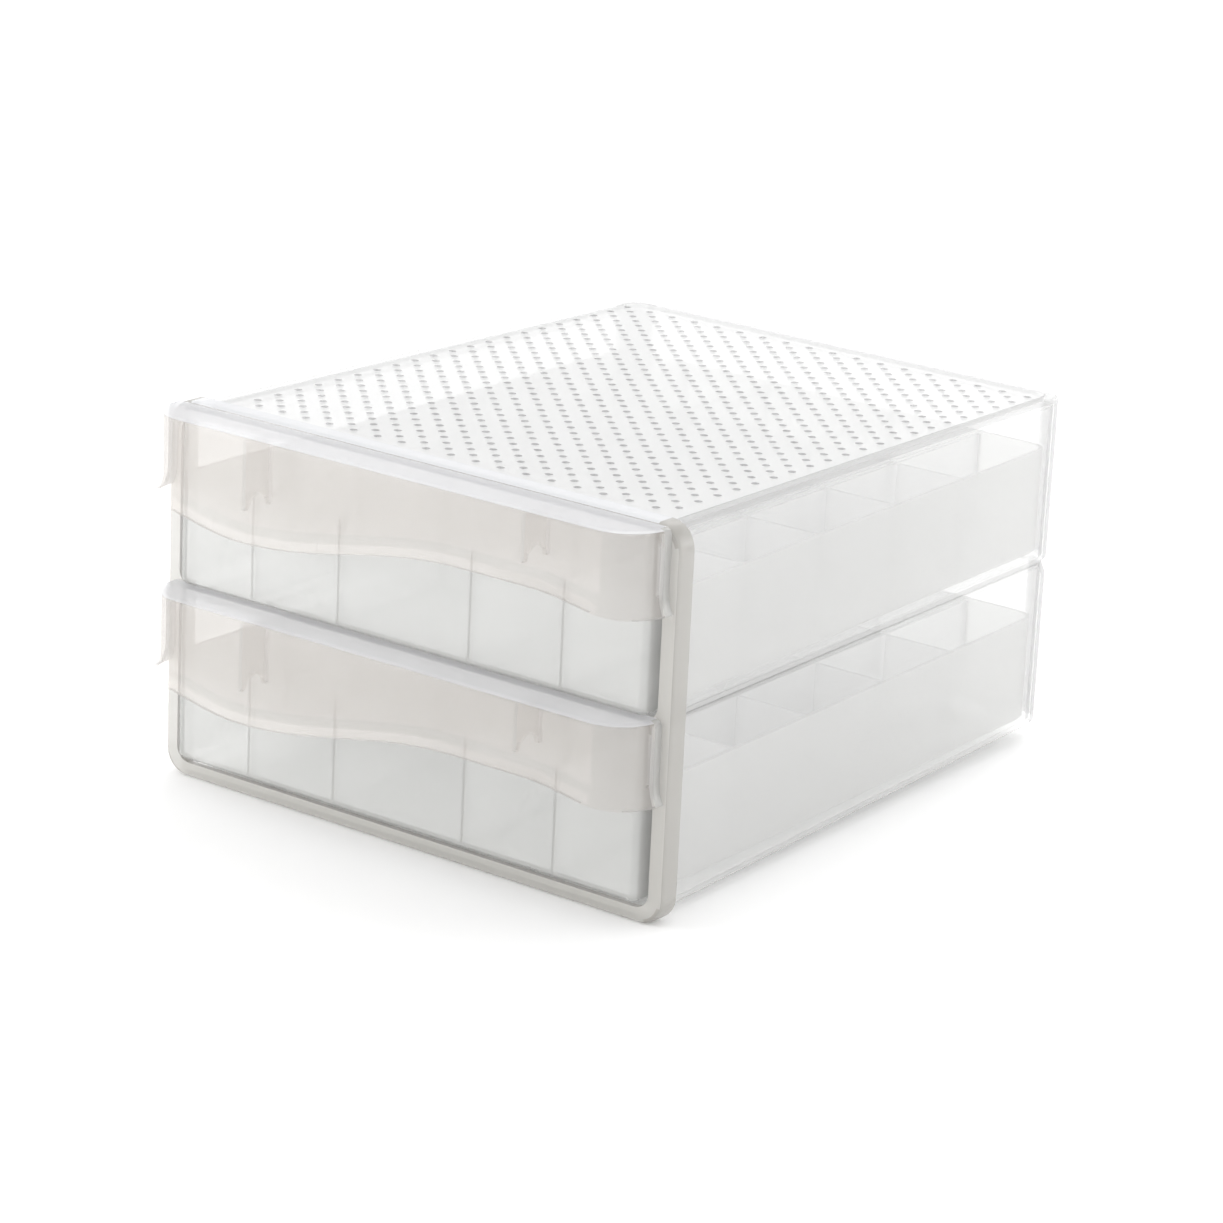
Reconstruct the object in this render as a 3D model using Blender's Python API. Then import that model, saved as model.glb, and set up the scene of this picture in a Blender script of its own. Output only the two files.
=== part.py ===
"""Two-tier storage box: a case of two stacked tubs behind one front frame, with
two pull-out drawers, each parted into cells by a drop-in lattice of dividers.

Metres, +Z up, the front faces -Y. The origin is the centre of the box that the
closed object fills, on the surface that it stands on.
"""

import math

import bmesh
import bpy

# ---- driving dimensions ---------------------------------------------------

FRAME_WIDTH = 0.2384        # front frame, outside, left to right
FRAME_HEIGHT = 0.150        # front frame, outside
FRAME_DEPTH = 0.0095        # front frame, front to back
FRAME_CORNER = 0.010        # its outer corner radius
FRAME_EDGE = 0.0018         # rounding of its front edge
POST_FACE = 0.0060          # width of the posts' face
RAIL_FACE = 0.0060          # height of the top and bottom rails' face
MID_RAIL_FACE = 0.0040      # height of the rail between the bays
LIP_DEPTH = 0.0025          # thickness of the rails, in front of the tubs
WINDOW_CORNER = 0.0060      # corner radius of the two windows

CASE_DEPTH = 0.279          # front of the frame to the rear of the case
CASE_WALL = 0.0020
CASE_CORNER = 0.012         # rear corners, seen from above
CASE_DRAFT = 0.0046         # each side leans in this much towards the rear
TOP_DROP = 0.0022           # case top below the frame's top, at the front
TOP_DRAFT = 0.0046          # the top sinks this much towards the rear
FLOOR_RISE = 0.0024         # underside of the lower tub, at the front
FLOOR_DRAFT = 0.0038        # the underside climbs this much towards the rear
SEAM_GROOVE_DEPTH = 0.0018  # the groove between the tubs, into the wall
SEAM_GROOVE_ABOVE = 0.0022  # how far it reaches up the upper tub
SEAM_GROOVE_BELOW = 0.0045  # how far it reaches down the lower tub

RIM_WIDTH = 0.0055          # flat rim round the top panel
PANEL_THICKNESS = 0.0018
PANEL_SEAT = 0.0030         # width of the seat below the panel's edge
SEAT_THICKNESS = 0.0015

GRIP_WIDTH = 0.2320         # across the ledge
GRIP_REACH = 0.0205         # front of the frame to the front of the grip
GRIP_CORNER = 0.0185        # grip's corners, seen from above
GRIP_WALL = 0.0016
LEDGE_THICKNESS = 0.0020
LEDGE_EDGE = 0.0024         # rounding of the ledge's front edge
APRON_WAVE = (              # across the front, and the apron's depth there
    (-0.116, 0.0330),
    (-0.064, 0.0403),
    (0.040, 0.0270),
    (0.072, 0.0270),
    (0.112, 0.0315),
)
LIP_HEIGHT = 0.0070         # flared lower edge of the apron
LIP_FLARE = 0.0020          # how far it flares
GUSSETS = {"left": (-0.065, 0.0290), "right": (0.065, 0.0200)}  # place, and depth below the ledge
GUSSET_THICKNESS = 0.0016
GUSSET_NOTCH = 0.0055       # radius of the notch in its foot

TIER_ROOM = 0.0003          # between the lower ledge and the upper drawer
RIM_BELOW_LEDGE = 0.0270    # side walls end this far below the ledge
DRAWER_PROUD = 0.0040       # drawer front before the frame
DRAWER_REAR_ROOM = 0.0055   # behind the closed drawer
DRAWER_SIDE_ROOM = 0.0005   # between drawer and tub, each side
DRAWER_WALL = 0.0018
DRAWER_FRONT_CORNER = 0.004
DRAWER_REAR_CORNER = 0.009
CLOSED_ROOM = 0.0006        # between the frame and what closes on it

DIVIDER_THICKNESS = 0.0016
DIVIDER_BELOW_RIM = 0.0010
LONG_DIVIDERS = (-0.073, -0.031, 0.031, 0.073)     # from the middle of the drawer
CROSS_DIVIDERS = (-0.0755, -0.0265, 0.0265, 0.0755)  # from the middle of the drawer

RUNNER_SPACING = 0.140      # between the two runner ribs of a tub
RUNNER_WIDTH = 0.0030
RUNNER_ROOM = 0.0003        # between a runner and the drawer on it
RUNNER_LEAST = 0.0003       # height of the lower runners at their rear end

FOOT_LENGTH = 0.024
FOOT_WIDTH = 0.012
FOOT_SPACING = 0.150
FOOT_FROM_REAR = 0.020      # centre of the feet before the rear of the case

JOINT_GAP = 0.0003          # between pieces that touch
ARC_STEPS = 6               # segments in a quarter turn
APRON_STEPS = 26            # segments along the straight front of the apron

# ---- places that follow ---------------------------------------------------

FRONT_Y = -(CASE_DEPTH - GRIP_REACH - LIP_FLARE) / 2    # front face of the frame
REAR_Y = FRONT_Y + CASE_DEPTH
FRAME_BACK_Y = FRONT_Y + FRAME_DEPTH
MOUTH_Y = FRONT_Y + LIP_DEPTH + JOINT_GAP       # where the tubs begin
WINDOW_HALF = FRAME_WIDTH / 2 - POST_FACE
CASE_HALF = WINDOW_HALF - JOINT_GAP             # half the case's width at the frame
CASE_TOP = FRAME_HEIGHT - TOP_DROP
SEAM_HEIGHT = FRAME_HEIGHT / 2                  # underside of the upper tub
UPPER_FLOOR_TOP = SEAM_HEIGHT + CASE_WALL
LOWER_TUB_TOP = SEAM_HEIGHT - JOINT_GAP

DRAWER_FRONT_Y = FRONT_Y - DRAWER_PROUD
DRAWER_REAR_Y = REAR_Y - CASE_WALL - DRAWER_REAR_ROOM
DRAWER_MIDDLE_Y = (DRAWER_FRONT_Y + DRAWER_REAR_Y) / 2
GRIP_BACK_Y = FRONT_Y - CLOSED_ROOM
GRIP_FRONT_Y = FRONT_Y - GRIP_REACH
DRAWER_BOTTOM = FLOOR_RISE + FLOOR_DRAFT + CASE_WALL + RUNNER_LEAST + RUNNER_ROOM
DRAWER_HEIGHT = (FRAME_HEIGHT - JOINT_GAP - DRAWER_BOTTOM - TIER_ROOM) / 2
TIER_PITCH = DRAWER_HEIGHT + TIER_ROOM


# ---- finishes -------------------------------------------------------------

def finish(name, colour, roughness):
    """A Principled material of one colour."""
    material = bpy.data.materials.new(name)
    material.use_nodes = True
    shader = material.node_tree.nodes["Principled BSDF"]
    shader.inputs["Base Color"].default_value = (*colour, 1.0)
    shader.inputs["Roughness"].default_value = roughness
    shader.inputs["Metallic"].default_value = 0.0
    return material


# ---- shapes ---------------------------------------------------------------

def slope(y):
    """0 at the back of the frame, 1 at the rear of the case."""
    return (y - FRAME_BACK_Y) / (REAR_Y - FRAME_BACK_Y)


def case_half(y):
    """Half the outside width of the case at this depth."""
    return CASE_HALF - CASE_DRAFT * slope(y)


def case_top(y):
    """Height of the case's top at this depth."""
    return CASE_TOP - TOP_DRAFT * slope(y)


def case_underside(y):
    """Height of the lower tub's underside at this depth."""
    return FLOOR_RISE + FLOOR_DRAFT * slope(y)


def level(height):
    """The same height at every depth."""
    return lambda y: height


def raised(surface, offset):
    """A surface moved up by an offset."""
    return lambda y: surface(y) + offset


def rounded(corners, radii, steps=ARC_STEPS):
    """Outline of a convex polygon, anticlockwise, with its corners rounded."""
    points = []
    count = len(corners)
    for index, corner in enumerate(corners):
        before = corners[index - 1]
        after = corners[(index + 1) % count]
        to_before = (before[0] - corner[0], before[1] - corner[1])
        to_after = (after[0] - corner[0], after[1] - corner[1])
        heading_in = math.atan2(-to_before[1], -to_before[0])
        heading_out = math.atan2(to_after[1], to_after[0])
        turn = (heading_out - heading_in) % math.tau
        reach = radii[index] * math.tan(turn / 2)
        start = (corner[0] - math.cos(heading_in) * reach, corner[1] - math.sin(heading_in) * reach)
        centre = (start[0] - math.sin(heading_in) * radii[index],
                  start[1] + math.cos(heading_in) * radii[index])
        for step in range(steps + 1):
            angle = heading_in + turn * step / steps
            points.append((centre[0] + math.sin(angle) * radii[index],
                           centre[1] - math.cos(angle) * radii[index]))
    return points


def case_outline(inset, front_y, rear_y, front_radius, rear_radius):
    """Plan of the tapering case, or of a drawer in it, moved in by an inset."""
    front, rear = front_y + inset, rear_y - inset
    corners = [(-(case_half(front) - inset), front), (case_half(front) - inset, front),
               (case_half(rear) - inset, rear), (-(case_half(rear) - inset), rear)]
    front_radius = max(front_radius - inset, 0.0008)
    rear_radius = max(rear_radius - inset, 0.0008)
    return rounded(corners, [front_radius, front_radius, rear_radius, rear_radius])


def ring(outline, surface):
    """An outline in plan, laid on a surface that is a height for each depth."""
    return [(x, y, surface(y)) for x, y in outline]


def loft(rings):
    """Closed skin through rings of equal count, each anticlockwise, going up first."""
    mesh = bmesh.new()
    rows = [[mesh.verts.new(point) for point in points] for points in rings]
    count = len(rows[0])
    for lower, upper in zip(rows, rows[1:]):
        for index in range(count):
            following = (index + 1) % count
            mesh.faces.new((lower[index], lower[following], upper[following], upper[index]))
    mesh.faces.new(list(reversed(rows[0])))
    mesh.faces.new(rows[-1])
    return mesh


def prism(outline, low, high, axis):
    """An outline pushed along an axis, from low to high."""
    place = {"x": lambda u, v, w: (w, u, v), "y": lambda u, v, w: (u, w, v),
             "z": lambda u, v, w: (u, v, w)}[axis]
    mesh = bmesh.new()
    face = mesh.faces.new([mesh.verts.new(place(u, v, low)) for u, v in outline])
    pushed = bmesh.ops.extrude_face_region(mesh, geom=[face])["geom"]
    moved = [item for item in pushed if isinstance(item, bmesh.types.BMVert)]
    start, end = place(0.0, 0.0, low), place(0.0, 0.0, high)
    bmesh.ops.translate(mesh, verts=moved, vec=[b - a for a, b in zip(start, end)])
    bmesh.ops.recalc_face_normals(mesh, faces=mesh.faces)
    return mesh


def block(low, high):
    """A box between two corners."""
    outline = [(low[0], low[1]), (high[0], low[1]), (high[0], high[1]), (low[0], high[1])]
    return prism(outline, low[2], high[2], "z")


# ---- objects --------------------------------------------------------------

def add(name, mesh, material=None, carrier=None):
    """An object of this mesh, which is carried by an empty where it moves with one."""
    if carrier is not None:
        bmesh.ops.translate(mesh, verts=mesh.verts, vec=-carrier.location)
    data = bpy.data.meshes.new(name)
    mesh.to_mesh(data)
    mesh.free()
    data.set_sharp_from_angle(angle=math.radians(35))
    item = bpy.data.objects.new(name, data)
    item.parent = carrier
    bpy.context.collection.objects.link(item)
    if material is not None:
        data.materials.append(material)
    return item


def combine(item, tool_name, mesh, operation):
    """Cut a tool shape out of an object, or join it on."""
    tool = add(tool_name, mesh)
    tool.hide_render = True
    tool.display_type = "WIRE"
    step = item.modifiers.new(tool_name, "BOOLEAN")
    step.operation = operation
    step.solver = "EXACT"
    step.object = tool


# ---- front frame ----------------------------------------------------------

def frame_outline(inset):
    """Front view of the frame's outside."""
    half = FRAME_WIDTH / 2 - inset
    low, high = inset, FRAME_HEIGHT - inset
    return rounded([(-half, low), (half, low), (half, high), (-half, high)],
                   [FRAME_CORNER - inset] * 4)


def window_outline(low, high, radius):
    """Front view of an opening as wide as the space between the posts."""
    return rounded([(-WINDOW_HALF, low), (WINDOW_HALF, low), (WINDOW_HALF, high),
                    (-WINDOW_HALF, high)], [radius] * 4)


def build_front_frame(material):
    """One frame round both bays, with a socket behind that takes the tubs."""
    half_edge = FRAME_EDGE * (1 - math.sqrt(0.5))
    stations = [(FRAME_EDGE, FRONT_Y), (half_edge, FRONT_Y + half_edge), (0.0, FRONT_Y + FRAME_EDGE),
                (0.0, FRAME_BACK_Y - half_edge), (half_edge, FRAME_BACK_Y)]
    rings = [[(x, y, z) for x, z in frame_outline(inset)] for inset, y in reversed(stations)]
    item = add("front_frame", loft(rings), material)
    socket = window_outline(FLOOR_RISE - JOINT_GAP, CASE_TOP + JOINT_GAP, 0.001)
    combine(item, "frame_socket", prism(socket, FRONT_Y + LIP_DEPTH, REAR_Y, "y"), "DIFFERENCE")
    middle = SEAM_HEIGHT
    bays = {"lower_window": (RAIL_FACE, middle - MID_RAIL_FACE / 2),
            "upper_window": (middle + MID_RAIL_FACE / 2, FRAME_HEIGHT - RAIL_FACE)}
    for name, (low, high) in bays.items():
        outline = window_outline(low, high, WINDOW_CORNER)
        combine(item, name, prism(outline, GRIP_FRONT_Y, REAR_Y, "y"), "DIFFERENCE")


# ---- case -----------------------------------------------------------------

def case_ring(inset, surface):
    """Ring of the case, carried past its mouth so that the mouth can be cut square."""
    outline = case_outline(inset, FRONT_Y - GRIP_REACH, REAR_Y, 0.0, CASE_CORNER)
    return ring(outline, surface)


def open_mouth(item, name):
    """Cut a tub square behind the frame's rails."""
    low = (-FRAME_WIDTH, FRONT_Y - 2 * GRIP_REACH, -FRAME_HEIGHT)
    high = (FRAME_WIDTH, MOUTH_Y, 2 * FRAME_HEIGHT)
    combine(item, name, block(low, high), "DIFFERENCE")


def add_runners(item, prefix, floor, drawer_underside):
    """Two ribs with a level top, which carry a drawer over a tub's floor."""
    front, rear = MOUTH_Y, REAR_Y - CASE_WALL - CASE_CORNER
    top = drawer_underside - RUNNER_ROOM
    root = CASE_WALL / 2
    outline = [(front, floor(front) - root), (rear, floor(rear) - root), (rear, top), (front, top)]
    for side, centre in (("left", -RUNNER_SPACING / 2), ("right", RUNNER_SPACING / 2)):
        rib = prism(outline, centre - RUNNER_WIDTH / 2, centre + RUNNER_WIDTH / 2, "x")
        combine(item, f"{prefix}_runner_{side}", rib, "UNION")


def build_case_lower(material):
    """Lower tub: floor, two sides and rear, with a rim that the upper tub stands on."""
    floor = raised(case_underside, CASE_WALL)
    rim_underside = level(SEAM_HEIGHT - MID_RAIL_FACE / 2)
    item = add("case_lower", loft([
        case_ring(CASE_WALL * 0.75, case_underside),
        case_ring(0.0, raised(case_underside, CASE_WALL * 0.75)),
        case_ring(0.0, level(LOWER_TUB_TOP - SEAM_GROOVE_BELOW)),
        case_ring(SEAM_GROOVE_DEPTH, level(LOWER_TUB_TOP)),
        case_ring(RIM_WIDTH, level(LOWER_TUB_TOP)),
        case_ring(RIM_WIDTH, rim_underside),
        case_ring(CASE_WALL, rim_underside),
        case_ring(CASE_WALL, floor),
    ]), material)
    open_mouth(item, "case_lower_mouth")
    add_runners(item, "lower", floor, DRAWER_BOTTOM)


def build_case_upper(material):
    """Upper tub: its floor parts the bays, and its rim holds the top panel."""
    seat_inset = RIM_WIDTH + PANEL_SEAT
    panel_underside = raised(case_top, -PANEL_THICKNESS - JOINT_GAP)
    seat_underside = raised(panel_underside, -SEAT_THICKNESS)
    floor = level(UPPER_FLOOR_TOP)
    item = add("case_upper", loft([
        case_ring(SEAM_GROOVE_DEPTH, level(SEAM_HEIGHT)),
        case_ring(0.0, level(SEAM_HEIGHT + SEAM_GROOVE_ABOVE)),
        case_ring(0.0, raised(case_top, -CASE_WALL / 2)),
        case_ring(CASE_WALL / 2, case_top),
        case_ring(RIM_WIDTH, case_top),
        case_ring(RIM_WIDTH, panel_underside),
        case_ring(seat_inset, panel_underside),
        case_ring(seat_inset, seat_underside),
        case_ring(CASE_WALL, seat_underside),
        case_ring(CASE_WALL, floor),
    ]), material)
    open_mouth(item, "case_upper_mouth")
    add_runners(item, "upper", floor, DRAWER_BOTTOM + TIER_PITCH)


def build_top_panel(material):
    """Flat panel that lies in the upper tub's rim and butts on the frame."""
    inset = RIM_WIDTH + JOINT_GAP
    outline = case_outline(inset, FRAME_BACK_Y + JOINT_GAP - inset, REAR_Y, inset, CASE_CORNER)
    rings = [ring(outline, raised(case_top, -PANEL_THICKNESS)), ring(outline, case_top)]
    add("top_panel", loft(rings), material)


def build_rear_feet(material):
    """Pads that level the case behind, where its underside has climbed."""
    y = REAR_Y - FOOT_FROM_REAR
    near, far = y - FOOT_WIDTH / 2, y + FOOT_WIDTH / 2
    outline = [(near, 0.0), (far, 0.0), (far, case_underside(far) - JOINT_GAP),
               (near, case_underside(near) - JOINT_GAP)]
    for side, x in (("left", -FOOT_SPACING / 2), ("right", FOOT_SPACING / 2)):
        pad = prism(outline, x - FOOT_LENGTH / 2, x + FOOT_LENGTH / 2, "x")
        add(f"rear_foot_{side}", pad, material)


# ---- drawers --------------------------------------------------------------

def apron_depth(x):
    """Ledge top to the apron's lower edge at this place across the front."""
    x = min(max(x, APRON_WAVE[0][0]), APRON_WAVE[-1][0])
    for (start, depth), (end, next_depth) in zip(APRON_WAVE, APRON_WAVE[1:]):
        if x <= end:
            share = (x - start) / (end - start)
            return depth + (next_depth - depth) * (1 - math.cos(math.pi * share)) / 2
    return APRON_WAVE[-1][1]


def grip_path(inset):
    """Plan of the grip from its left end to its right, moved in by an inset."""
    radius = min(GRIP_CORNER, GRIP_BACK_Y - GRIP_FRONT_Y - JOINT_GAP)
    centre_x, centre_y = GRIP_WIDTH / 2 - radius, GRIP_FRONT_Y + radius
    steps = 2 * ARC_STEPS
    left = [(inset - GRIP_WIDTH / 2, GRIP_BACK_Y)]
    for step in range(steps + 1):
        angle = math.pi + math.pi / 2 * step / steps
        left.append(((radius - inset) * math.cos(angle) - centre_x,
                     (radius - inset) * math.sin(angle) + centre_y))
    front = [(centre_x * (2 * step / APRON_STEPS - 1), GRIP_FRONT_Y + inset)
             for step in range(1, APRON_STEPS)]
    return left + front + [(-x, y) for x, y in reversed(left)]


def grip_mesh(ledge_top):
    """Ledge and apron as one shell, open below and behind the apron."""
    half_edge = LEDGE_EDGE * (1 - math.sqrt(0.5))
    along = grip_path(0.0)
    depth = [apron_depth(x) for x, _ in along]
    flat = [ledge_top] * len(along)
    outer_foot = [ledge_top - value for value in depth]
    lip_start = [foot + LIP_HEIGHT for foot in outer_foot]
    rows = [
        (LEDGE_EDGE, flat),
        (half_edge, [ledge_top - half_edge] * len(along)),
        (0.0, [ledge_top - LEDGE_EDGE] * len(along)),
        (0.0, lip_start),
        (-LIP_FLARE * 0.35, [(a + b) / 2 for a, b in zip(lip_start, outer_foot)]),
        (-LIP_FLARE, outer_foot),
        (GRIP_WALL - LIP_FLARE, outer_foot),
        (GRIP_WALL - LIP_FLARE * 0.35, [(a + b) / 2 for a, b in zip(lip_start, outer_foot)]),
        (GRIP_WALL, lip_start),
        (GRIP_WALL, [ledge_top - LEDGE_THICKNESS] * len(along)),
    ]
    mesh = bmesh.new()
    lines = []
    for inset, heights in rows:
        plan = grip_path(inset)
        lines.append([mesh.verts.new((x, y, z)) for (x, y), z in zip(plan, heights)])
    for above, below in zip(lines, lines[1:]):
        for index in range(len(above) - 1):
            mesh.faces.new((above[index], below[index], below[index + 1], above[index + 1]))
    mesh.faces.new(lines[0])
    mesh.faces.new(list(reversed(lines[-1])))
    left = [line[0] for line in lines]
    right = [line[-1] for line in lines]
    mesh.faces.new(list(reversed(left)) + right)
    bmesh.ops.recalc_face_normals(mesh, faces=mesh.faces)
    return mesh


def gusset_mesh(x, foot, top):
    """Web between the apron and the drawer's front, with a notch in its foot."""
    front = GRIP_FRONT_Y + GRIP_WALL / 2
    back = DRAWER_FRONT_Y + DRAWER_WALL / 2
    middle = (front + back) / 2
    notch = [(middle - GUSSET_NOTCH * math.cos(math.pi * step / ARC_STEPS),
              foot + GUSSET_NOTCH * math.sin(math.pi * step / ARC_STEPS))
             for step in range(ARC_STEPS + 1)]
    outline = [(front, foot), *notch, (back, foot), (back, top), (front, top)]
    return prism(outline, x - GUSSET_THICKNESS / 2, x + GUSSET_THICKNESS / 2, "x")


def drawer_outline(inset):
    """Plan of a drawer, which keeps its room inside the tapering tub."""
    room = CASE_WALL + DRAWER_SIDE_ROOM
    return case_outline(room + inset, DRAWER_FRONT_Y - room, DRAWER_REAR_Y + room,
                        DRAWER_FRONT_CORNER + room, DRAWER_REAR_CORNER + room)


def drawer_carrier(tier, lift):
    """Empty on the line that a drawer slides along, at the middle of its underside."""
    carrier = bpy.data.objects.new(f"{tier}_drawer_slide", None)
    carrier.location = (0.0, DRAWER_MIDDLE_Y, DRAWER_BOTTOM + lift)
    bpy.context.collection.objects.link(carrier)
    return carrier


def build_drawer(tier, lift, carrier, material):
    """Drawer moulded in one with its ledge, apron and gussets."""
    bottom = DRAWER_BOTTOM + lift
    ledge_top = bottom + DRAWER_HEIGHT
    rim = ledge_top - RIM_BELOW_LEDGE
    front_top = ledge_top - LEDGE_THICKNESS / 2
    item = add(f"drawer_{tier}", loft([
        ring(drawer_outline(DRAWER_WALL * 0.75), level(bottom)),
        ring(drawer_outline(0.0), level(bottom + DRAWER_WALL * 0.75)),
        ring(drawer_outline(0.0), level(front_top)),
        ring(drawer_outline(DRAWER_WALL), level(front_top)),
        ring(drawer_outline(DRAWER_WALL), level(bottom + DRAWER_WALL)),
    ]), material, carrier)
    low = (-FRAME_WIDTH, GRIP_BACK_Y, rim)
    high = (FRAME_WIDTH, REAR_Y, ledge_top + FRAME_HEIGHT)
    combine(item, f"{tier}_rim_cut", block(low, high), "DIFFERENCE")
    combine(item, f"{tier}_grip", grip_mesh(ledge_top), "UNION")
    for side, (x, depth) in GUSSETS.items():
        web = gusset_mesh(x, ledge_top - depth, front_top)
        combine(item, f"{tier}_gusset_{side}", web, "UNION")


# ---- dividers -------------------------------------------------------------

def comb(start, end, low, high, slots, from_top):
    """Side view of a divider, with a half-height slot at each crossing."""
    half_slot = DIVIDER_THICKNESS / 2 + JOINT_GAP
    middle = (low + high) / 2
    slot_end = middle - JOINT_GAP / 2 if from_top else middle + JOINT_GAP / 2
    slotted, plain = (high, low) if from_top else (low, high)
    edge = [(start, slotted)]
    for place in slots:
        edge += [(place - half_slot, slotted), (place - half_slot, slot_end),
                 (place + half_slot, slot_end), (place + half_slot, slotted)]
    edge += [(end, slotted), (end, plain), (start, plain)]
    return edge


def build_dividers(tier, lift, carrier, material):
    """Drop-in lattice: dividers front to back, crossed by dividers side to side."""
    low = DRAWER_BOTTOM + DRAWER_WALL + lift + JOINT_GAP
    high = DRAWER_BOTTOM + DRAWER_HEIGHT - RIM_BELOW_LEDGE - DIVIDER_BELOW_RIM + lift
    half = DIVIDER_THICKNESS / 2
    front = DRAWER_FRONT_Y + DRAWER_WALL + JOINT_GAP
    rear = DRAWER_REAR_Y - DRAWER_WALL - JOINT_GAP
    crossings = [DRAWER_MIDDLE_Y + place for place in CROSS_DIVIDERS]
    for number, x in enumerate(LONG_DIVIDERS, 1):
        outline = comb(front, rear, low, high, crossings, from_top=False)
        name = f"{tier}_long_divider_{number}"
        add(name, prism(outline, x - half, x + half, "x"), material, carrier)
    for number, y in enumerate(crossings, 1):
        room = CASE_WALL + DRAWER_SIDE_ROOM + DRAWER_WALL + JOINT_GAP
        reach = case_half(y + half) - room
        outline = comb(-reach, reach, low, high, LONG_DIVIDERS, from_top=True)
        name = f"{tier}_cross_divider_{number}"
        add(name, prism(outline, y - half, y + half, "y"), material, carrier)


# ---- the whole object -----------------------------------------------------

def clear_scene():
    """Remove whatever the file opened with."""
    for item in list(bpy.data.objects):
        bpy.data.objects.remove(item, do_unlink=True)


def build():
    """Model every piece in its place, with the drawers closed."""
    clear_scene()
    build_front_frame(finish("frame_plastic", (0.80, 0.80, 0.78), 0.30))
    build_case_lower(finish("lower_case_plastic", (0.86, 0.87, 0.86), 0.35))
    build_case_upper(finish("upper_case_plastic", (0.87, 0.88, 0.87), 0.35))
    build_top_panel(finish("panel_plastic", (0.92, 0.92, 0.92), 0.55))
    build_rear_feet(finish("foot_rubber", (0.85, 0.85, 0.84), 0.70))
    for tier, lift in (("lower", 0.0), ("upper", TIER_PITCH)):
        carrier = drawer_carrier(tier, lift)
        drawer_plastic = finish(f"{tier}_drawer_plastic", (0.86, 0.86, 0.84), 0.30)
        divider_plastic = finish(f"{tier}_divider_plastic", (0.88, 0.88, 0.87), 0.40)
        build_drawer(tier, lift, carrier, drawer_plastic)
        build_dividers(tier, lift, carrier, divider_plastic)


build()
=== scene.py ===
"""Looks of a two-tier drawer storage box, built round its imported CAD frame."""

import logging
import math
from dataclasses import dataclass
from enum import Enum

import bmesh
import bpy
from mathutils import Matrix, Vector


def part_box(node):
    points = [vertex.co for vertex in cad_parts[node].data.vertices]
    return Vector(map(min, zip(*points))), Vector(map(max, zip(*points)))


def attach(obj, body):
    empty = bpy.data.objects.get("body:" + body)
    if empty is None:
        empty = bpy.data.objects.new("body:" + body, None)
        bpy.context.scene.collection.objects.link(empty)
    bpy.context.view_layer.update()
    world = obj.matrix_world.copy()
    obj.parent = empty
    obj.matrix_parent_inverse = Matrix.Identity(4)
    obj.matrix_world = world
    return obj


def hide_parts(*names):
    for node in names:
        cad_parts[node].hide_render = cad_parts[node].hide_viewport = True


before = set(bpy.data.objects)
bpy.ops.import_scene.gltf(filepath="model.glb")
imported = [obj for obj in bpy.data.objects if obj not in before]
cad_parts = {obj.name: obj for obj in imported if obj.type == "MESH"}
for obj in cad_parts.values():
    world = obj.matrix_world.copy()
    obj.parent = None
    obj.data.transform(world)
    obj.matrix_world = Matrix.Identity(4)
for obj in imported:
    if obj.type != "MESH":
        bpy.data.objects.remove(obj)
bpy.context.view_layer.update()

WELD = 1e-6  # metres within which two corners are one
FLAT = math.radians(0.5)  # triangles that meet at less than this are one face
SMOOTH = math.radians(4)  # faces that meet at more than this are bent
SHARP = math.radians(40)  # and at more than this they meet at a corner
CREASE = math.radians(32)  # edges over this are shaded as corners
LEVELLING = 80  # how strongly large faces set the shading of what joins them
RIM_FACE = 0.0026  # widest rim, in metres
RIM_SHARE = 0.7  # least share of a rim's outline that is sharp
BEND_FACE = 0.0060  # widest strip of a rounded corner, in metres
BEND_SHARE = 0.6  # least share of such a strip's outline that is bent
FACING = 0.9  # least part of a face's normal along the way that it faces
SQUARE_ON = 0.98  # the same, for a wall that lines are drawn on
UPRIGHT_WEB = 0.99  # the same, for a web across the grip

ORDERING = Vector((1.0, 0.7312, 0.4177))  # a slant that ranks the parts of a mesh

PLASTIC_IOR = 1.49
FLOW_SCALE, FLOW_DETAIL = 9.0, 3.0
FLOW_STRETCH = (1.0, 0.35, 1.0)
SPECKLE_SCALE, SPECKLE_STRENGTH = 1400.0, 0.5
GLOSS_SCALE, GLOSS_SPREAD = 60.0, 0.10

log = logging.getLogger("storage_box")


class Slot(Enum):
    """Material slots of the record."""

    FRAME = "frame"
    CASE = "case"
    PANEL = "panel"
    DRAWER = "drawer"
    DIVIDER = "divider"
    FOOT = "foot"


class Zone(Enum):
    """Where on a moulding a face is, which gives its finish.

    WALL is the plain face, RIM a narrow edge, BEND a strip of a rounded corner, GRIP the ledge
    and apron, WEB the gussets behind the apron, INNER the inside of a drawer, CROWN what faces
    up, SCORE a line opposite a board's end, and SIDE a wall that faces left or right. RIM, BEND,
    SIDE and SCORE finishes are darker with painted shade, CROWN and INNER finishes paler with
    painted light.
    """

    WALL = 0
    RIM = 1
    BEND = 2
    GRIP = 3
    WEB = 4
    INNER = 5
    CROWN = 6
    SCORE = 7
    SIDE = 8


class Tier(Enum):
    """The two tiers of drawers."""

    UPPER = "upper"
    LOWER = "lower"

    @property
    def body(self) -> str:
        """Name of the body that this tier's drawer moves with."""
        return f"{self.value}_drawer"


# ---- shader expressions -----------------------------------------------------


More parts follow.
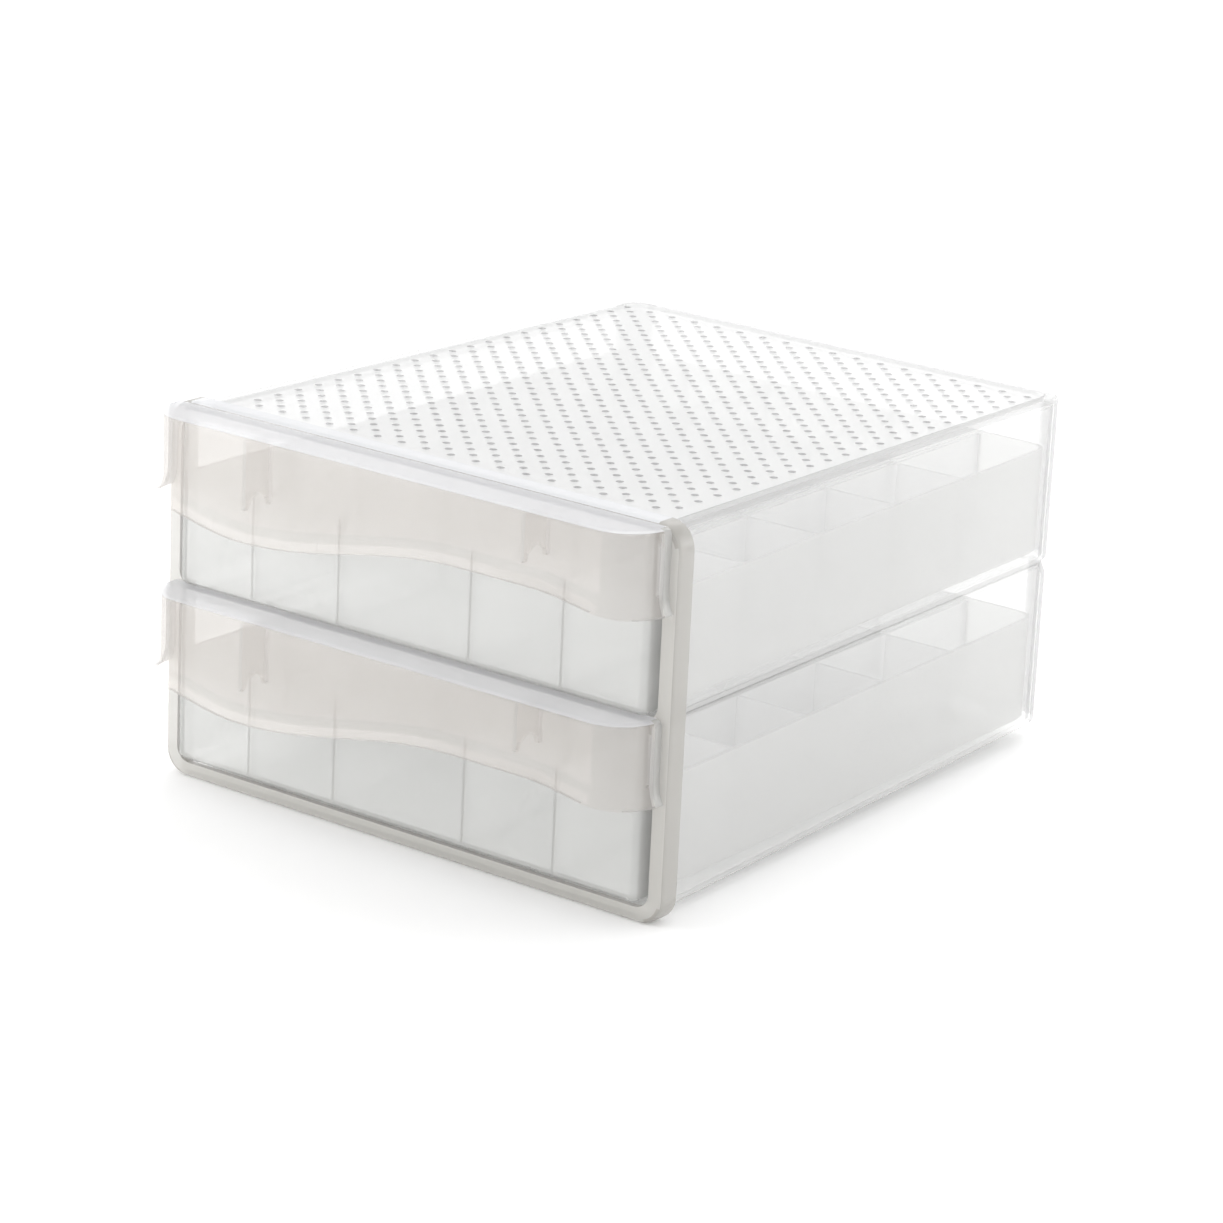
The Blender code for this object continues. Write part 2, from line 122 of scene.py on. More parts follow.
class Signal:
    """A number on a socket, which Python's operators extend with Math nodes."""

    def __init__(self, shader: "Shader", socket: bpy.types.NodeSocket) -> None:
        """Wrap a socket.

        Args:
            shader: The shader that the socket belongs to.
            socket: An output socket that carries one number.
        """
        self.shader = shader
        self.socket = socket

    def _math(
        self, operation: str, first: "Signal | float", second: "Signal | float"
    ) -> "Signal":
        """Add one Math node.

        Args:
            operation: The node's operation.
            first: Its first value, a Signal or a number.
            second: Its second value, a Signal or a number.

        Returns:
            The result as a Signal.
        """
        settings = {"operation": operation}
        node = self.shader.node("ShaderNodeMath", settings, {0: first, 1: second})
        return Signal(self.shader, node.outputs[0])

    def __add__(self, other: "Signal | float") -> "Signal":
        """Sum."""
        return self._math("ADD", self, other)

    __radd__ = __add__

    def __mul__(self, other: "Signal | float") -> "Signal":
        """Product."""
        return self._math("MULTIPLY", self, other)

    __rmul__ = __mul__


class Shader:
    """Node tree of one material, with a Principled shader at its end."""

    def __init__(self, name: str) -> None:
        """Start a material.

        Args:
            name: The material's name.
        """
        self.material = bpy.data.materials.new(name)
        self.material.use_nodes = True
        self.tree = self.material.node_tree
        self.tree.nodes.clear()
        self.surface = self.node("ShaderNodeBsdfPrincipled", {}, {})
        output = self.node("ShaderNodeOutputMaterial", {}, {})
        self.tree.links.new(self.surface.outputs[0], output.inputs[0])
        self.place = self.node("ShaderNodeTexCoord", {}, {}).outputs["Object"]

    def node(self, kind: str, settings: dict, sockets: dict) -> bpy.types.Node:
        """Add a node.

        Args:
            kind: The node's type.
            settings: Attributes that are set first.
            sockets: Values, sockets or Signals for its inputs, by name or number.

        Returns:
            The node.
        """
        made = self.tree.nodes.new(kind)
        for key, value in settings.items():
            setattr(made, key, value)
        self.feed(made, sockets)
        return made

    def feed(self, node: bpy.types.Node, sockets: dict) -> None:
        """Set or link a node's inputs.

        Args:
            node: The node.
            sockets: Values, sockets or Signals for its inputs, by name or number.
        """
        for key, value in sockets.items():
            if isinstance(value, Signal):
                value = value.socket
            if isinstance(value, bpy.types.NodeSocket):
                self.tree.links.new(value, node.inputs[key])
            else:
                node.inputs[key].default_value = value

    def noise(
        self,
        scale: float,
        detail: float = 2.0,
        stretch: tuple[float, float, float] = (1, 1, 1),
    ) -> Signal:
        """Noise on the piece's own place.

        Args:
            scale: Cells per metre.
            detail: Octaves.
            stretch: How much finer the noise is along each axis.

        Returns:
            A number from about 0 to 1.
        """
        place = self.place
        if stretch != (1, 1, 1):
            mapping = self.node("ShaderNodeMapping", {}, {"Vector": place, "Scale": stretch})
            place = mapping.outputs[0]
        sockets = {"Vector": place, "Scale": scale, "Detail": detail}
        return Signal(self, self.node("ShaderNodeTexNoise", {}, sockets).outputs[0])

    def attribute(self, name: str) -> Signal:
        """A number that the mesh holds on its faces."""
        made = self.node("ShaderNodeAttribute", {"attribute_name": name}, {})
        return Signal(self, made.outputs["Fac"])

    def blend(
        self,
        share: Signal | float,
        first: bpy.types.NodeSocket | tuple,
        second: bpy.types.NodeSocket | tuple,
    ) -> bpy.types.NodeSocket:
        """Mix two colours.

        Args:
            share: How much of the second colour, a Signal or a number.
            first: A colour or a colour socket.
            second: A colour or a colour socket.

        Returns:
            The mixed colour's socket.
        """
        settings = {"data_type": "RGBA"}
        made = self.node("ShaderNodeMix", settings, {0: share, 6: first, 7: second})
        return made.outputs[2]

    def relief(
        self, height: Signal, distance: float, strength: float
    ) -> bpy.types.NodeSocket:
        """Bump from a height.

        Args:
            height: The height, from 0 to 1.
            distance: Metres that a height of 1 stands for.
            strength: How strongly it bends the normal.

        Returns:
            The normal's socket.
        """
        sockets = {"Strength": strength, "Distance": distance, "Height": height}
        return self.node("ShaderNodeBump", {}, sockets).outputs[0]


# ---- finishes -----------------------------------------------------------------


@dataclass(frozen=True)
class MilkyPlastic:
    """Translucent polypropylene, clouded where the melt flowed, with a fine grain.

    The opacity is that of one face, so a wall of two faces hides more than that. Cloud is how
    much darker the clouds are, grain the height of the grain in metres, and the pit shade how
    bright the faces are whose attribute "pit" is 1, which is painted shade in the dimples.
    """

    name: str
    tint: tuple[float, float, float]
    opacity: float
    roughness: float = 0.30
    cloud: float = 0.05
    grain: float = 0.000006
    pit_painted_shade: float = 1.0

    def make(self) -> bpy.types.Material:
        """Build the material.

        Returns:
            The material.
        """
        shader = Shader(self.name)
        flow = shader.noise(FLOW_SCALE, FLOW_DETAIL, FLOW_STRETCH)
        speckle = shader.noise(SPECKLE_SCALE)
        smoothest = self.roughness - GLOSS_SPREAD / 2
        deep = tuple(channel * (1 - self.cloud) for channel in self.tint)
        colour = shader.blend(flow, (*self.tint, 1), (*deep, 1))
        # Painted shade: the faces marked "pit" are darkened.
        if self.pit_painted_shade < 1.0:
            pit = tuple(channel * self.pit_painted_shade for channel in self.tint)
            colour = shader.blend(shader.attribute("pit"), colour, (*pit, 1))
        shader.feed(shader.surface, {
            "Base Color": colour,
            "Roughness": smoothest + GLOSS_SPREAD * shader.noise(GLOSS_SCALE),
            "Normal": shader.relief(speckle, self.grain, SPECKLE_STRENGTH),
            "Alpha": self.opacity,
            "IOR": PLASTIC_IOR,
        })
        return shader.material


@dataclass(frozen=True)
class SoftPad:
    """Pale, matt silicone, a little darker where dust has settled."""

    name: str
    tint: tuple[float, float, float]
    dust_shade: float = 0.86
    dust_scale: float = 900.0
    dust_height: float = 0.00006

    def make(self) -> bpy.types.Material:
        """Build the material.

        Returns:
            The material.
        """
        shader = Shader(self.name)
        dust = shader.noise(self.dust_scale, 3.0)
        deep = tuple(channel * self.dust_shade for channel in self.tint)
        shader.feed(shader.surface, {
            "Base Color": shader.blend(dust, (*self.tint, 1), (*deep, 1)),
            "Roughness": 0.6 + 0.2 * dust,
            "Normal": shader.relief(dust, self.dust_height, 0.6),
        })
        return shader.material


# ---- meshes -------------------------------------------------------------------


def welded(node: str) -> bmesh.types.BMesh:
    """Copy a CAD node's mesh, with its triangles joined into whole faces.

    Args:
        node: The CAD node's name.

    Returns:
        The copy.
    """
    mesh = bmesh.new()
    mesh.from_mesh(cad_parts[node].data)
    bmesh.ops.remove_doubles(mesh, verts=mesh.verts, dist=WELD)
    bmesh.ops.dissolve_limit(mesh, angle_limit=FLAT, verts=mesh.verts, edges=mesh.edges)
    return mesh


def is_sharp(line: bmesh.types.BMEdge) -> bool:
    """True for an edge between two faces that meet at a real corner."""
    return line.is_manifold and line.calc_face_angle(0.0) > SHARP


def mark_rims(mesh: bmesh.types.BMesh) -> None:
    """Mark narrow faces between two corners as rims, and strips of rounded corners as bends.

    Args:
        mesh: The mesh to mark.
    """
    for face in mesh.faces:
        around = face.calc_perimeter()
        cornered = sum(line.calc_length() for line in face.edges if is_sharp(line))
        bent = sum(line.calc_length() for line in face.edges
                   if line.is_manifold and SMOOTH < line.calc_face_angle(0.0) <= SHARP)
        width = 2 * face.calc_area() / around
        if cornered > RIM_SHARE * around and width < RIM_FACE:
            face.material_index = Zone.RIM.value
        elif bent > BEND_SHARE * around and width < BEND_FACE:
            face.material_index = Zone.BEND.value


def mark_crown(mesh: bmesh.types.BMesh, lowest: float, *zones: Zone) -> None:
    """Mark the upward faces of some zones as crown, whose paler finish is painted light from
    above.

    Args:
        mesh: The mesh to mark.
        lowest: The height below which faces stay as they are.
        zones: The zones whose upward faces change.
    """
    numbers = [zone.value for zone in zones]
    for face in mesh.faces:
        high = face.calc_center_median().z > lowest
        if high and face.normal.z > FACING and face.material_index in numbers:
            face.material_index = Zone.CROWN.value


def mark_sides(mesh: bmesh.types.BMesh) -> None:
    """Mark the walls that face left or right as sides, whose darker finish is painted shade.

    Args:
        mesh: The mesh to mark.
    """
    for face in mesh.faces:
        if abs(face.normal.x) > FACING and face.material_index == Zone.WALL.value:
            face.material_index = Zone.SIDE.value


def score(
    mesh: bmesh.types.BMesh,
    way: Vector,
    along: int,
    places: list[float],
    width: float,
    low: float,
    high: float,
    depth: float,
) -> None:
    """Mark a wall with shallow sunk lines opposite the boards' ends, whose dark finish is painted
    shade where the boards stand behind the wall.

    Args:
        mesh: The mesh to mark.
        way: The direction that the wall faces.
        along: The axis that the lines are spaced on, 0 or 1.
        places: Where each line's middle is on that axis.
        width: Width of a line.
        low: Height of a line's lower end.
        high: Height of its upper end.
        depth: How far a line's middle is sunk.
    """
    outer = (Zone.WALL.value, Zone.SIDE.value)

    def wall_parts() -> list:
        """Gather the wall as it now is.

        Returns:
            Its faces, edges and corners.
        """
        faces = [face for face in mesh.faces
                 if face.normal.dot(way) > SQUARE_ON and face.material_index in outer]
        edges = dict.fromkeys(edge for face in faces for edge in face.edges)
        corners = dict.fromkeys(vert for face in faces for vert in face.verts)
        return [*faces, *edges, *corners]

    normal = Vector((0.0, 0.0, 0.0))
    normal[along] = 1.0
    cuts = [(place + side * width / 2, normal) for place in places for side in (-1, 0, 1)]
    for place, across in cuts:
        bmesh.ops.bisect_plane(mesh, geom=wall_parts(), dist=WELD, plane_co=place * across,
                               plane_no=across)
    for height in (low, high):
        level = Vector((0.0, 0.0, height))
        bmesh.ops.bisect_plane(mesh, geom=wall_parts(), dist=WELD, plane_co=level,
                               plane_no=Vector((0.0, 0.0, 1.0)))
    sunk = set()
    for face in mesh.faces:
        if face.normal.dot(way) > SQUARE_ON and face.material_index in outer:
            middle = face.calc_center_median()
            near = [place for place in places if abs(middle[along] - place) < width / 2]
            if near and low < middle.z < high:
                face.material_index = Zone.SCORE.value
                sunk.update(vert for vert in face.verts if abs(vert.co[along] - near[0]) < WELD
                            and low + WELD < vert.co.z < high + WELD)
    for vert in sunk:
        vert.co -= depth * way


def round_edges(mesh: bmesh.types.BMesh, width: float) -> None:
    """Round the sharp edges, as moulded parts have them, and give them the rim's finish, mostly a
    darker tint of painted shade.

    Args:
        mesh: The mesh to round.
        width: How far each rounding reaches, in metres.
    """
    sharp = [line for line in mesh.edges if is_sharp(line)]
    made = bmesh.ops.bevel(
        mesh, geom=sharp, offset=width, offset_type="OFFSET", affect="EDGES",
        segments=2, profile=0.5, material=-1, clamp_overlap=True,
    )
    for face in made["faces"]:
        face.material_index = Zone.RIM.value


def settle(mesh: bmesh.types.BMesh) -> None:
    """Put corners, edges and faces in an order that is the same in every run.

    Args:
        mesh: The mesh, whose shape stays as it is.
    """
    mesh.verts.sort(key=lambda vert: vert.co.dot(ORDERING))
    mesh.edges.sort(key=lambda line: (line.verts[0].co + line.verts[1].co).dot(ORDERING))
    mesh.faces.sort(key=lambda face: face.calc_center_median().dot(ORDERING))


def temporary(mesh: bmesh.types.BMesh) -> bpy.types.Object:
    """Make an object that is used for a cut and then removed.

    Args:
        mesh: Its mesh, which is freed.

    Returns:
        The object.
    """
    data = bpy.data.meshes.new("cut")
    mesh.to_mesh(data)
    mesh.free()
    item = bpy.data.objects.new("cut", data)
    bpy.context.collection.objects.link(item)
    return item


def carved(mesh: bmesh.types.BMesh, cutter: bmesh.types.BMesh) -> bmesh.types.BMesh:
    """Cut one closed mesh out of another.

    Args:
        mesh: The mesh that is cut, which is freed.
        cutter: The shape that is taken away, which is freed.

    Returns:
        What is left.
    """
    body, tool = temporary(mesh), temporary(cutter)
    cut = body.modifiers.new("cut", "BOOLEAN")
    cut.operation = "DIFFERENCE"
    cut.solver = "EXACT"
    cut.object = tool
    left = bmesh.new()
    left.from_object(body, bpy.context.evaluated_depsgraph_get())
    for item in (body, tool):
        data = item.data
        bpy.data.objects.remove(item)
        bpy.data.meshes.remove(data)
    return left


@dataclass(frozen=True)
class Dress:
    """What a piece wears: the finish of each zone; it also holds a slot of the record, which no
    piece is given.
    """

    slot: Slot
    finishes: dict[Zone, bpy.types.Material]

    def put_on(self, mesh: bmesh.types.BMesh, data: bpy.types.Mesh) -> None:
        """Number a mesh's faces by the finishes that they use, and give it those finishes.

        Args:
            mesh: The mesh, whose faces' material numbers are zones.
            data: The mesh data that takes the finishes.
        """
        worn = []
        for face in mesh.faces:
            finish = self.finishes.get(Zone(face.material_index), self.finishes[Zone.WALL])
            if finish not in worn:
                worn.append(finish)
                data.materials.append(finish)
            face.material_index = worn.index(finish)


def piece(
    name: str, mesh: bmesh.types.BMesh, dress: Dress, body: str, *nodes: str
) -> bpy.types.Object:
    """Make a finished piece that rides on a body.

    Args:
        name: The piece's name.
        mesh: Its mesh, which is freed.
        dress: Its finishes.
        body: The body that it moves with.
        nodes: The CAD nodes that it replaces.

    Returns:
        The piece.
    """
    data = bpy.data.meshes.new(name)
    dress.put_on(mesh, data)
    mesh.to_mesh(data)
    mesh.free()
    data.shade_smooth()
    data.set_sharp_from_angle(angle=CREASE)
    item = bpy.data.objects.new(name, data)
    bpy.context.collection.objects.link(item)
    levelling = item.modifiers.new("flat_walls", "WEIGHTED_NORMAL")
    levelling.weight = LEVELLING
    levelling.keep_sharp = True
    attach(item, body)
    if nodes:
        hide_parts(*nodes)
    log.info("made %s with %d faces", name, len(data.polygons))
    return item


# ---- sub-assemblies ---------------------------------------------------------------


@dataclass
class FrontFrame:
    """Bezel round both bays."""

    dress: Dress
    rounding: float = 0.0005

    def build(self) -> None:
        """Make the bezel."""
        mesh = welded("front_frame")
        mark_rims(mesh)
        mark_crown(mesh, 0.0, Zone.WALL)
        mark_sides(mesh)
        round_edges(mesh, self.rounding)
        piece("bezel", mesh, self.dress, "case", "front_frame")


@dataclass
class CaseTub:
    """One tub of the case, with its floor, walls and rim."""

    tier: Tier
    dress: Dress
    rounding: float = 0.0005

    def build(self) -> None:
        """Make the tub."""
        node = f"case_{self.tier.value}"
        mesh = welded(node)
        mark_rims(mesh)
        round_edges(mesh, self.rounding)
        piece(f"{self.tier.value}_tub", mesh, self.dress, "case", node)


@dataclass
class TopPanel:
    """Frosted panel with a staggered field of round dimples."""

    dress: Dress
    dimple_radius: float = 0.0016
    dimple_depth: float = 0.0010
    half_pitch: float = 0.00582
    half_columns: int = 17
    rows: int = 42
    end_margin: float = 0.0112
    round_sides: int = 12
    foot_share: float = 0.86
    mouth_share: float = 1.14
    rim_clear: float = 0.0020
    skin: float = 0.0001
    rounding: float = 0.0003

    def dimples(
        self, low: Vector, high: Vector, front_top: float, drop: float
    ) -> bmesh.types.BMesh:
        """Shape every dimple at once.

        Args:
            low: The panel's lowest corner.
            high: The panel's highest corner.
            front_top: Height of its top at the front.
            drop: How much its top rises for each metre towards the rear.

        Returns:
            The shapes that are cut away.
        """
        mesh = bmesh.new()
        for row in range(self.rows):
            run = high.y - low.y - 2 * self.end_margin
            y = low.y + self.end_margin + run * row / (self.rows - 1)
            for column in range(-self.half_columns, self.half_columns + 1):
                if (column + row) % 2:
                    continue
                place = Vector((column * self.half_pitch, y, front_top + drop * (y - low.y)))
                bmesh.ops.create_cone(
                    mesh, cap_ends=True, segments=self.round_sides,
                    radius1=self.dimple_radius * self.foot_share,
                    radius2=self.dimple_radius * self.mouth_share,
                    depth=2 * self.dimple_depth, matrix=Matrix.Translation(place),
                )
        return mesh

    def build(self) -> None:
        """Make the panel."""
        mesh = welded("top_panel")
        low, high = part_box("top_panel")
        crown = [face for face in mesh.faces if face.normal.z > FACING]
        front_top = max(vert.co.z for face in crown for vert in face.verts)
        rear_top = min(vert.co.z for face in crown for vert in face.verts)
        mark_rims(mesh)
        round_edges(mesh, self.rounding)
        drop = (rear_top - front_top) / (high.y - low.y)
        mesh = carved(mesh, self.dimples(low, high, front_top, drop))
        # Faces sunk into the dimples are marked "pit", where the finish paints shade.
        pit = mesh.faces.layers.float.new("pit")
        reach = self.half_columns * self.half_pitch + 2 * self.dimple_radius
        for face in mesh.faces:
            middle = face.calc_center_median()
            depth = front_top + drop * (middle.y - low.y) - middle.z
            clear = low.y + self.rim_clear < middle.y < high.y - self.rim_clear
            sunk = self.skin < depth < 1.5 * self.dimple_depth
            face[pit] = 1.0 if abs(middle.x) < reach and clear and sunk else 0.0
        piece("dotted_panel", mesh, self.dress, "case", "top_panel")


@dataclass
class Drawer:
    """Drawer moulded in one with its ledge, apron and gussets."""

    tier: Tier
    dress: Dress
    rounding: float = 0.0004
    proud: float = 0.0040
    web_reach: float = 0.090
    line_width: float = 0.0011
    line_sink: float = 0.00008
    line_end: float = 0.0020
    ledge: float = 0.0040
    boards_each_way: int = 4

    def score_walls(self, mesh: bmesh.types.BMesh) -> None:
        """Draw lines of painted shade on the drawer's walls, opposite the boards' ends.

        Args:
            mesh: The drawer's mesh, with its zones marked.
        """
        tier = self.tier.value
        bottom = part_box(f"drawer_{tier}")[0].z + self.line_end
        walls = (((0, -1, 0), "long", 0), ((0, 1, 0), "long", 0),
                 ((1, 0, 0), "cross", 1), ((-1, 0, 0), "cross", 1))
        for way, name, along in walls:
            boxes = [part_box(f"{tier}_{name}_divider_{number}")
                     for number in range(1, self.boards_each_way + 1)]
            places = [(low[along] + high[along]) / 2 for low, high in boxes]
            top = boxes[0][1].z
            score(mesh, Vector(way), along, places, self.line_width, bottom, top, self.line_sink)

    def mark_zones(self, mesh: bmesh.types.BMesh) -> None:
        """Tell the ledge and apron, the webs behind them and the inside from the outer walls.

        Args:
            mesh: The drawer's mesh, with its rims marked.
        """
        low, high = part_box(f"drawer_{self.tier.value}")
        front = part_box("front_frame")[0].y - self.proud - WELD
        heart = (low + high) / 2
        for face in mesh.faces:
            middle = face.calc_center_median()
            if face.material_index == Zone.RIM.value:
                continue
            if middle.y < front:
                across = abs(face.normal.x) > UPRIGHT_WEB and abs(middle.x) < self.web_reach
                if across:
                    face.material_index = Zone.WEB.value
                elif face.material_index != Zone.BEND.value:
                    face.material_index = Zone.GRIP.value
            # The inside faces take a whiter finish, painted light inside the drawer.
            elif face.normal.dot(middle - heart) < 0:
                face.material_index = Zone.INNER.value
            else:
                face.material_index = Zone.WALL.value

    def build(self) -> None:
        """Make the drawer."""
        node = f"drawer_{self.tier.value}"
        mesh = welded(node)
        mark_rims(mesh)
        self.mark_zones(mesh)
        mark_sides(mesh)
        mark_crown(mesh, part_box(node)[1].z - self.ledge, Zone.GRIP)
        round_edges(mesh, self.rounding)
        self.score_walls(mesh)
        settle(mesh)
        piece(f"{self.tier.value}_drawer_moulding", mesh, self.dress, self.tier.body, node)


@dataclass
class DividerSet:
    """Half-lapped dividers of one drawer."""

    tier: Tier
    dress: Dress
    each_way: int = 4
    rounding: float = 0.0003

    def build(self) -> None:
        """Make the dividers."""
        for way in ("long", "cross"):
            for number in range(1, self.each_way + 1):
                node = f"{self.tier.value}_{way}_divider_{number}"
                mesh = welded(node)
                mark_rims(mesh)
                round_edges(mesh, self.rounding)
                name = f"{self.tier.value}_{way}_board_{number}"
                piece(name, mesh, self.dress, self.tier.body, node)


@dataclass
class RearPads:
    """Soft pads under the rear of the case."""

    dress: Dress
    rounding: float = 0.0008

    def build(self) -> None:
        """Make both pads."""
        for side in ("left", "right"):
            mesh = welded(f"rear_foot_{side}")
            round_edges(mesh, self.rounding)
            piece(f"soft_pad_{side}", mesh, self.dress, "case", f"rear_foot_{side}")


# ---- studio ---------------------------------------------------------------------


@dataclass(frozen=True)
class Softbox:
    """A soft square lamp that faces the box: its place and side in metres, its power in watts."""

    name: str
    place: tuple[float, float, float]
    size: float
    power: float

    def hang(self, aim: Vector) -> None:
        """Add the lamp to the scene.

        Args:
            aim: The point that it faces.
        """
        data = bpy.data.lights.new(self.name, "AREA")
        data.size = self.size
        data.energy = self.power
        lamp = bpy.data.objects.new(self.name, data)
        lamp.location = self.place
        facing = aim - Vector(self.place)
        lamp.rotation_euler = facing.to_track_quat("-Z", "Y").to_euler()
        bpy.context.collection.objects.link(lamp)


@dataclass
class Studio:
    """Pale floor, soft light and the camera."""

    camera_place: tuple[float, float, float] = (0.93005, -1.27965, 0.57610)
    azimuth: float = 36.076
    elevation: float = 17.997
    roll: float = 2.714
    lens: float = 125.24
    sensor: float = 36.0
    near_clip: float = 0.05
    far_clip: float = 60.0
    floor_half: float = 9.0
    floor_drop: float = 0.0002
    floor_tints: tuple[float, float] = (0.99, 0.975)
    sky: float = 1.0
    heart: tuple[float, float, float] = (0.0, 0.0, 0.08)
    lamps: tuple[Softbox, ...] = (
        Softbox("overhead_softbox", (-0.2, 0.9, 1.3), 1.2, 9.0),
        Softbox("left_softbox", (-0.62, -0.64, 0.20), 0.5, 3.6),
        Softbox("rear_right_softbox", (0.80, 0.65, 0.35), 0.5, 2.5),
    )

    def set_camera(self) -> None:
        """Place the camera and make it the scene's."""
        turn, rise, lean = map(math.radians, (self.azimuth, self.elevation, self.roll))
        level = math.cos(rise)
        back = Vector((math.sin(turn) * level, -math.cos(turn) * level, math.sin(rise)))
        flat = Vector((math.cos(turn), math.sin(turn), 0.0))
        upright = back.cross(flat)
        right = math.cos(lean) * flat + math.sin(lean) * upright
        up = math.cos(lean) * upright - math.sin(lean) * flat
        data = bpy.data.cameras.new("camera")
        data.lens = self.lens
        data.sensor_width = self.sensor
        data.clip_start, data.clip_end = self.near_clip, self.far_clip
        camera = bpy.data.objects.new("camera", data)
        bpy.context.collection.objects.link(camera)
        turned = Matrix((right, up, back)).transposed().to_4x4()
        camera.matrix_world = Matrix.Translation(self.camera_place) @ turned
        bpy.context.scene.camera = camera

    def add_floor(self) -> None:
        """Lay a plain pale floor."""
        mesh = bmesh.new()
        bmesh.ops.create_grid(mesh, x_segments=1, y_segments=1, size=self.floor_half)
        shader = Shader("pale_floor")
        pale, deep = ((tint, tint, tint, 1) for tint in self.floor_tints)
        shader.feed(shader.surface, {
            "Base Color": shader.blend(shader.noise(3.0), pale, deep),
            "Roughness": 0.9,
            "Specular IOR Level": 0.1,
        })
        data = bpy.data.meshes.new("floor")
        mesh.to_mesh(data)
        mesh.free()
        data.materials.append(shader.material)
        floor = bpy.data.objects.new("floor", data)
        floor.location.z = -self.floor_drop
        bpy.context.collection.objects.link(floor)

    def build(self) -> None:
        """Set up the camera, the floor and the light."""
        self.set_camera()
        self.add_floor()
        world = bpy.data.worlds.new("studio")
        world.use_nodes = True
        background = world.node_tree.nodes["Background"]
        background.inputs["Color"].default_value = (1, 1, 1, 1)
        background.inputs["Strength"].default_value = self.sky
        bpy.context.scene.world = world
        for lamp in self.lamps:
            lamp.hang(Vector(self.heart))
        bpy.context.scene.view_settings.view_transform = "Standard"
        bpy.context.scene.cycles.transparent_max_bounces = 32
        bpy.context.scene.cycles.diffuse_bounces = 8
        log.info("studio is up")


Look = dict[Zone, bpy.types.Material]


def worn(finishes: dict[Zone, MilkyPlastic | SoftPad]) -> Look:
    """Build the material of each finish.

    Args:
        finishes: The finish of each zone.

    Returns:
        The material of each zone.
    """
    return {zone: finish.make() for zone, finish in finishes.items()}


def case_look() -> Look:
    """Clear white tub walls, whose grey rims and bends are painted shade; their opacity stays low,
    so the drawers show.
    """
    return worn({
        Zone.WALL: MilkyPlastic("milky_case", (0.98, 0.98, 0.975), 0.24, grain=3e-6),
        # Painted shade: the rims are a darker tint of the wall.
        Zone.RIM: MilkyPlastic("milky_case_rim_painted_shade", (0.60, 0.60, 0.595), 0.45),
        # Painted shade: the rounded corners are a darker tint of the wall.
        Zone.BEND: MilkyPlastic("milky_case_bend_painted_shade", (0.50, 0.50, 0.50), 0.50),
    })


def frame_look() -> Look:
    """Thick, slightly olive bezel; its paler top is painted light from above, and its darker
    sides, rims and bends are painted shade.
    """
    return worn({
        Zone.WALL: MilkyPlastic("milky_bezel", (0.67, 0.655, 0.62), 0.50, grain=3e-6),
        # Painted shade: the walls that face left or right are a darker tint.
        Zone.SIDE: MilkyPlastic("milky_bezel_side_painted_shade", (0.46, 0.445, 0.415), 0.56, grain=3e-6),
        # Painted shade: the rims are a darker tint.
        Zone.RIM: MilkyPlastic("milky_bezel_rim_painted_shade", (0.56, 0.545, 0.52), 0.42),
        # Painted shade: the rounded corners are a darker tint.
        Zone.BEND: MilkyPlastic("milky_bezel_bend_painted_shade", (0.42, 0.405, 0.375), 0.62),
        # Painted light: the upward faces are a paler tint.
        Zone.CROWN: MilkyPlastic("milky_bezel_crown_painted_light", (0.80, 0.81, 0.84), 0.70, 0.2),
    })


def panel_look() -> Look:
    """Frosted sheet; its darker dimples and grey rims are painted shade."""
    frosted = MilkyPlastic("frosted_panel", (0.84, 0.84, 0.84), 0.55, 0.50, pit_painted_shade=0.66)
    return worn({
        Zone.WALL: frosted,
        # Painted shade: the rims are a darker tint.
        Zone.RIM: MilkyPlastic("frosted_panel_rim_painted_shade", (0.58, 0.58, 0.58), 0.7, 0.45),
    })


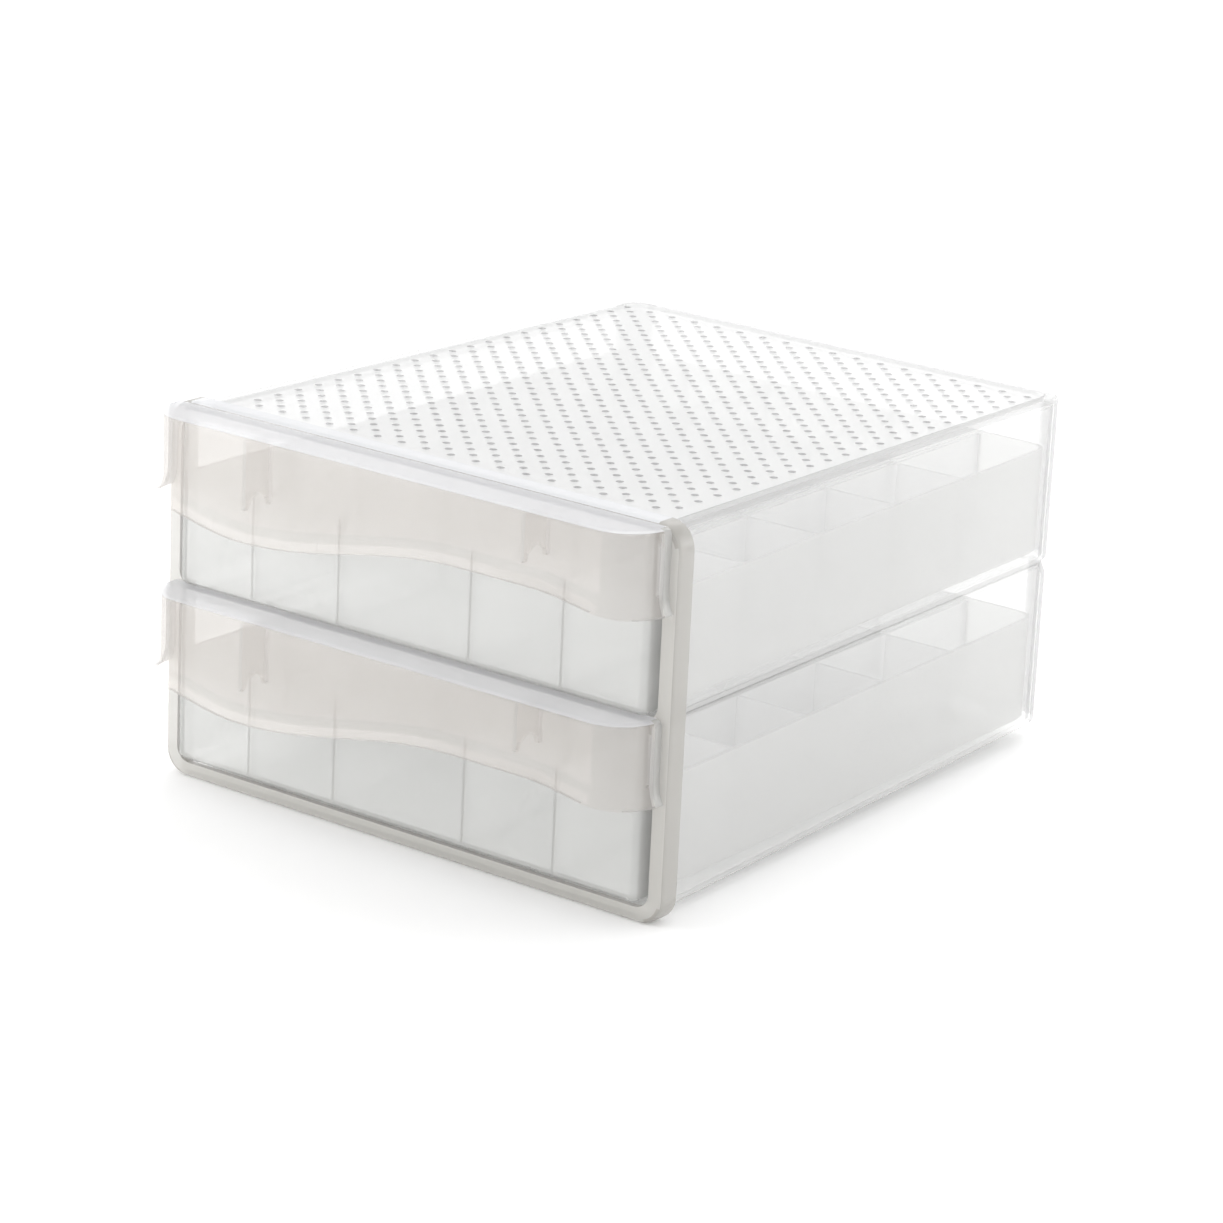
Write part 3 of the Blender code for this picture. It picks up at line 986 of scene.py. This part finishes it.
def drawer_look() -> Look:
    """Grey-green tray with a clear, warmer ledge and apron; its whiter inside and the paler top of
    its bluish ledge are painted light, and its darker sides, rims, bends and lines are painted
    shade.
    """
    return worn({
        Zone.WALL: MilkyPlastic("milky_drawer", (0.69, 0.695, 0.675), 0.40, 0.25, grain=3e-6),
        # Painted shade: the walls that face left or right are a darker tint.
        Zone.SIDE: MilkyPlastic("milky_drawer_side_painted_shade", (0.43, 0.43, 0.415), 0.58, 0.3, grain=3e-6),
        # Painted shade: the rims are a darker tint.
        Zone.RIM: MilkyPlastic("milky_drawer_rim_painted_shade", (0.46, 0.455, 0.44), 0.50),
        # Painted light: the inside is a whiter tint than the outer walls.
        Zone.INNER: MilkyPlastic("milky_drawer_inside_painted_light", (0.98, 0.98, 0.975), 0.40, grain=3e-6),
        Zone.GRIP: MilkyPlastic("clear_grip", (0.63, 0.575, 0.53), 0.19, 0.12, grain=1e-6),
        # Painted light: the ledge's upward faces are a paler tint of its bluish tone.
        Zone.CROWN: MilkyPlastic("clear_ledge_painted_light", (0.88, 0.89, 0.94), 0.42, 0.10, grain=1e-6),
        # Painted shade: the apron's rounded corners are a darker tint.
        Zone.BEND: MilkyPlastic("clear_grip_bend_painted_shade", (0.56, 0.52, 0.485), 0.22, 0.45, grain=1e-6),
        Zone.WEB: MilkyPlastic("clear_web", (0.54, 0.515, 0.485), 0.18, 0.4, grain=1e-6),
        # Painted shade: the lines opposite the boards' ends are a dark tint.
        Zone.SCORE: MilkyPlastic("milky_drawer_line_painted_shade", (0.42, 0.42, 0.405), 0.75, 0.25, grain=1e-6),
    })


def board_look() -> Look:
    """White, nearly clear boards, whose grey rims are painted shade."""
    return worn({
        Zone.WALL: MilkyPlastic("milky_board", (0.98, 0.98, 0.98), 0.30, grain=3e-6),
        # Painted shade: the rims are a darker tint.
        Zone.RIM: MilkyPlastic("milky_board_rim_painted_shade", (0.60, 0.60, 0.60), 0.5),
    })


def pad_look() -> Look:
    """Pale pads."""
    return worn({Zone.WALL: SoftPad("soft_pad", (0.75, 0.75, 0.73))})


def main() -> None:
    """Build every sub-assembly in order."""
    logging.basicConfig(level=logging.INFO, format="%(name)s: %(message)s")
    Studio().build()
    case = Dress(Slot.CASE, case_look())
    bezel = Dress(Slot.FRAME, frame_look())
    panel = Dress(Slot.PANEL, panel_look())
    tray = Dress(Slot.DRAWER, drawer_look())
    boards = Dress(Slot.DIVIDER, board_look())
    pads = Dress(Slot.FOOT, pad_look())
    FrontFrame(bezel).build()
    TopPanel(panel).build()
    RearPads(pads).build()
    for tier in Tier:
        CaseTub(tier, case).build()
        Drawer(tier, tray).build()
        DividerSet(tier, boards).build()


if __name__ == "__main__":
    main()
